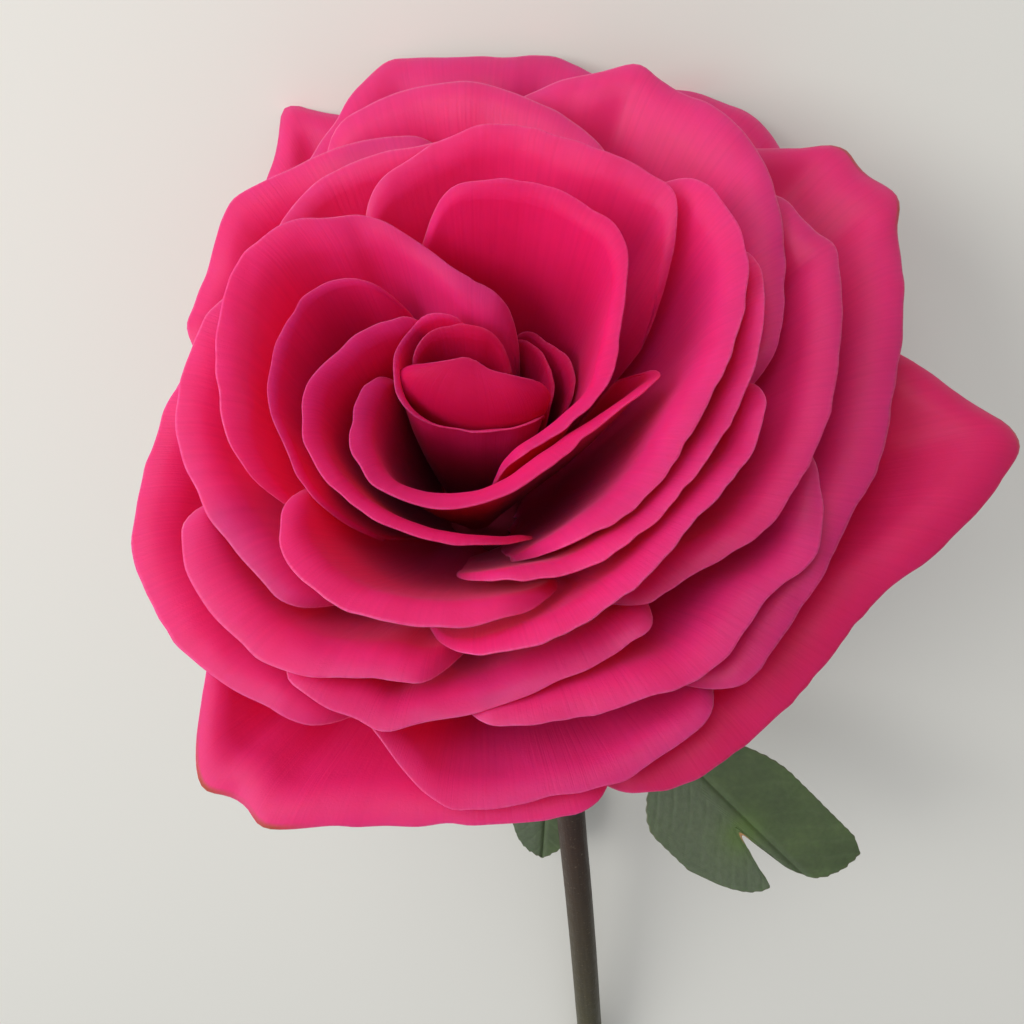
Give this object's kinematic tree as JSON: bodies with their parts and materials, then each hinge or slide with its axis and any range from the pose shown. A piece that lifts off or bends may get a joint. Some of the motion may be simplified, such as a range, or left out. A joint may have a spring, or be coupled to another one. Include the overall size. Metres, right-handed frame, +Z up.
{
  "type": "rose flower",
  "caption": "Cut garden rose in full bloom: a cup of overlapping rolled petals in a spiral on a bent leafy stem, lying on its side.",
  "frame": {"origin": "middle of the footprint of the lying flower, on the surface that it rests on", "axes": "+Z up; the stem's cut end points to -Y and the bloom, at the +Y end, faces +Y and up"},
  "size_m": [0.1272, 0.2972, 0.0966],
  "materials": {
    "petal": "satin",
    "leaf": "satin",
    "stem": "satin",
    "stamen": "matte"
  },
  "bodies": {
    "root": {"leaf_left": "leaf", "leaf_right": "leaf", "leaf_stalk_left": "stem", "leaf_stalk_right": "stem", "petal_guard_a": "petal", "petal_guard_b": "petal", "petal_guard_c": "petal", "petal_guard_d": "petal", "petal_guard_e": "petal", "petal_guard_f": "petal", "petal_guard_g": "petal", "petal_guard_h": "petal", "petal_heart_back": "petal", "petal_heart_fold": "petal", "petal_heart_front": "petal", "petal_inner_a": "petal", "petal_inner_b": "petal", "petal_inner_c": "petal", "petal_inner_d": "petal", "petal_inner_e": "petal", "petal_inner_f": "petal", "petal_inner_g": "petal", "petal_middle_a": "petal", "petal_middle_b": "petal", "petal_middle_c": "petal", "petal_middle_d": "petal", "petal_middle_e": "petal", "petal_middle_f": "petal", "petal_outer_a": "petal", "petal_outer_b": "petal", "petal_outer_c": "petal", "petal_outer_d": "petal", "petal_outer_e": "petal", "petal_outer_f": "petal", "petal_outer_g": "petal", "petal_outer_h": "petal", "petal_outer_i": "petal", "petal_outer_j": "petal", "receptacle": "leaf", "sepal_1": "leaf", "sepal_2": "leaf", "sepal_3": "leaf", "sepal_4": "leaf", "sepal_5": "leaf", "stamens": "stamen", "stem": "stem"}
  },
  "joints": []
}
